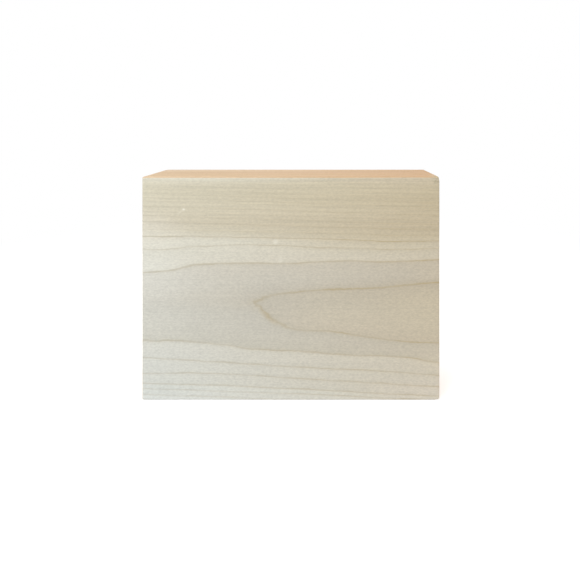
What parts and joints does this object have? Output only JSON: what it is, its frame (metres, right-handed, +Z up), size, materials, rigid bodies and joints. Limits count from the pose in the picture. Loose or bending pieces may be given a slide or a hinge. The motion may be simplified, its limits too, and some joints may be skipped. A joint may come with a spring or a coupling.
{
  "type": "wooden photo block",
  "caption": "Solid rectangular hardwood block with lightly eased arrises that stands on its long edge and carries a photo print on its broad front face.",
  "frame": {"origin": "middle of the bottom edge face, the face that the block stands on", "axes": "+X along the long edge, to the right as seen from the front; +Y from the front face towards the back face; +Z up"},
  "size_m": [0.2032, 0.0444, 0.1524],
  "materials": {
    "block": "planed and sanded, unfinished pale hardwood with open cathedral grain"
  },
  "bodies": {
    "root": {"block": "block"}
  },
  "joints": []
}
